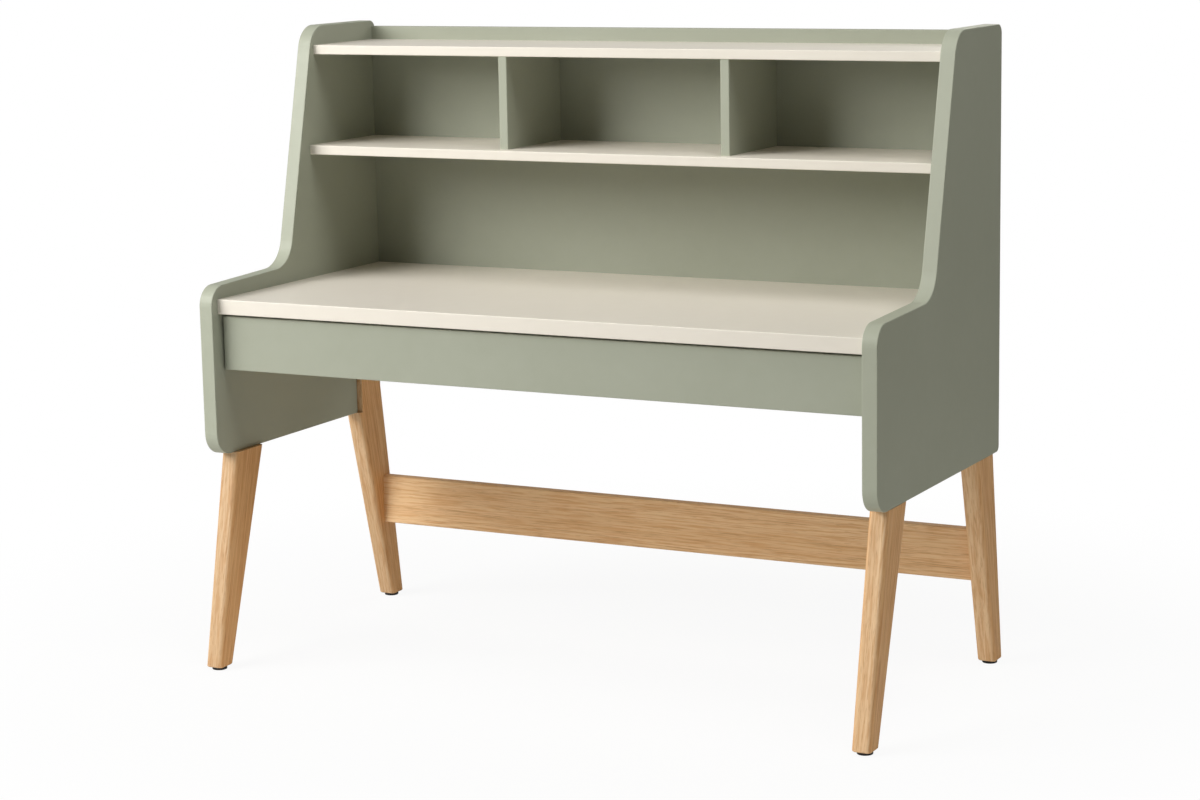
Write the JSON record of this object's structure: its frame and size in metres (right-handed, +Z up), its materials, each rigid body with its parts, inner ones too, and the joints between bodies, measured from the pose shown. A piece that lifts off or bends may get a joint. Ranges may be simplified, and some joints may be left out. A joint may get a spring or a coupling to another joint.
{
  "type": "student desk with hutch",
  "caption": "Desk with painted side panels that rise into a shelved hutch, a wide drawer under a pale top, and splayed oak legs with a rear stretcher.",
  "frame": {"origin": "on the floor, under the middle of the desk", "axes": "+X to the right of someone sitting at the desk, +Y to the rear, +Z up"},
  "size_m": [1.2, 0.5915, 1.058],
  "materials": {
    "sage_paint": "satin paint on board",
    "cream_lacquer": "matt pale lacquer",
    "oak": "matt oiled oak",
    "drawer_birch": "clear lacquered birch ply",
    "beech_dowel": "plain turned beech",
    "runner_zinc": "zinc plated",
    "screw_steel": "zinc plated",
    "foot_black": "moulded, matt"
  },
  "bodies": {
    "desk": {"left_side_panel": "sage_paint", "right_side_panel": "sage_paint", "desktop": "cream_lacquer", "back_panel": "sage_paint", "middle_shelf": "cream_lacquer", "top_shelf": "cream_lacquer", "left_divider": "sage_paint", "right_divider": "sage_paint", "front_left_leg": "oak", "front_right_leg": "oak", "rear_left_leg": "oak", "rear_right_leg": "oak", "rear_stretcher": "oak", "leg_inserts": "screw_steel", "left_runner_rail": "runner_zinc", "right_runner_rail": "runner_zinc", "rail_screws": "screw_steel", "desktop_dowels": "beech_dowel", "shelf_dowels": "beech_dowel", "divider_dowels": "beech_dowel", "lap_dowels": "beech_dowel", "stretcher_dowels": "beech_dowel", "back_panel_screws": "screw_steel"},
    "drawer": {"drawer_front": "sage_paint", "drawer_box_front": "drawer_birch", "drawer_left_side": "drawer_birch", "drawer_right_side": "drawer_birch", "drawer_back": "drawer_birch", "drawer_floor": "drawer_birch", "left_runner_slide": "runner_zinc", "right_runner_slide": "runner_zinc", "slide_screws": "screw_steel", "drawer_corner_dowels": "beech_dowel", "drawer_front_screws": "screw_steel"},
    "left_middle": {"left_runner_middle": "runner_zinc"},
    "right_middle": {"right_runner_middle": "runner_zinc"},
    "front_left_foot": {"front_left_foot": "foot_black"},
    "front_right_foot": {"front_right_foot": "foot_black"},
    "rear_left_foot": {"rear_left_foot": "foot_black"},
    "rear_right_foot": {"rear_right_foot": "foot_black"}
  },
  "joints": [
    {"name": "drawer_slide", "type": "slide", "parent": "desk", "child": "drawer", "axis": [0, -1, 0], "range_m": [0, 0.36]},
    {"name": "left_middle_slide", "type": "slide", "parent": "desk", "child": "left_middle", "axis": [0, -1, 0], "range_m": [0, 0.18]},
    {"name": "right_middle_slide", "type": "slide", "parent": "desk", "child": "right_middle", "axis": [0, -1, 0], "range_m": [0, 0.18]},
    {"name": "front_left_foot_screw", "type": "slide", "parent": "desk", "child": "front_left_foot", "axis": [0, 0, -1], "range_m": [0, 0.01]},
    {"name": "front_right_foot_screw", "type": "slide", "parent": "desk", "child": "front_right_foot", "axis": [0, 0, -1], "range_m": [0, 0.01]},
    {"name": "rear_left_foot_screw", "type": "slide", "parent": "desk", "child": "rear_left_foot", "axis": [0, 0, -1], "range_m": [0, 0.01]},
    {"name": "rear_right_foot_screw", "type": "slide", "parent": "desk", "child": "rear_right_foot", "axis": [0, 0, -1], "range_m": [0, 0.01]}
  ],
  "couplings": [
    {"joint": "left_middle_slide", "follows": "drawer_slide", "ratio": 0.5},
    {"joint": "right_middle_slide", "follows": "drawer_slide", "ratio": 0.5}
  ]
}
